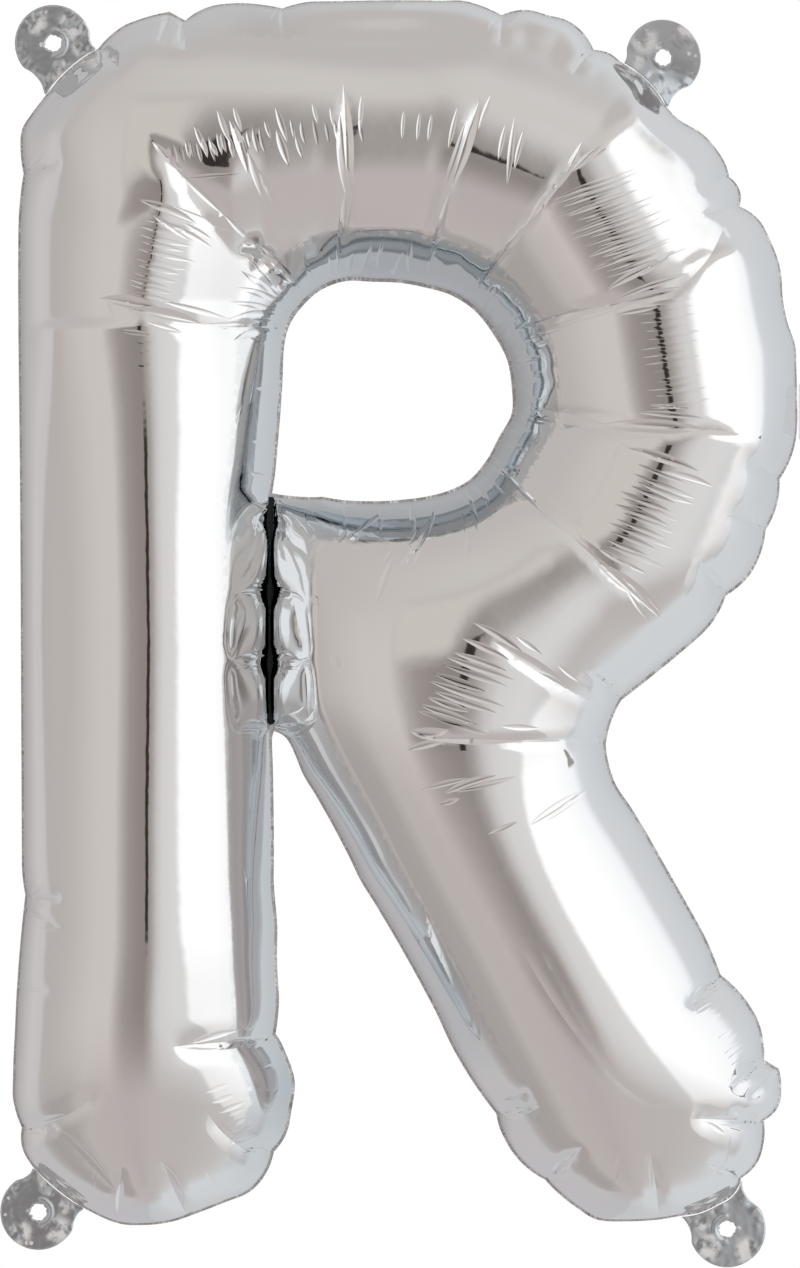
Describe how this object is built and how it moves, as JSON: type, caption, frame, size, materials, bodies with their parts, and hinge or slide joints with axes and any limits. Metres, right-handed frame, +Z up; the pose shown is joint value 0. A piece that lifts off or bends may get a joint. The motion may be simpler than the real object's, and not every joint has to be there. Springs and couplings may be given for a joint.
{
  "type": "letter foil balloon",
  "caption": "Air-filled silver foil balloon shaped as a letter R: two film sheets welded at the edge, round hanging tabs, a filler valve.",
  "frame": {"origin": "the hang point, midway between the holes of the two upper tabs, in the letter's mid-plane", "axes": "+X to the reader's right, +Y from the front sheet towards the back sheet, +Z up; the letter reads the right way round seen along +Y"},
  "size_m": [0.2407, 0.0844, 0.3645],
  "materials": {
    "silver_foil": "mirror-bright metallised film with fine creases",
    "welded_foil": "flat welded film, finely crinkled, satin",
    "lug_foil": "flat doubled film, soft shine with small creases",
    "clear_film": "clear thin film, glossy"
  },
  "bodies": {
    "root": {"front_panel": "silver_foil", "back_panel": "silver_foil", "outer_seam": "welded_foil", "counter_seam": "welded_foil", "stem_weld": "welded_foil", "tab_upper_left": "lug_foil", "tab_upper_right": "lug_foil", "tab_lower_left": "lug_foil", "tab_lower_right": "lug_foil", "filler_valve": "clear_film"}
  },
  "joints": []
}
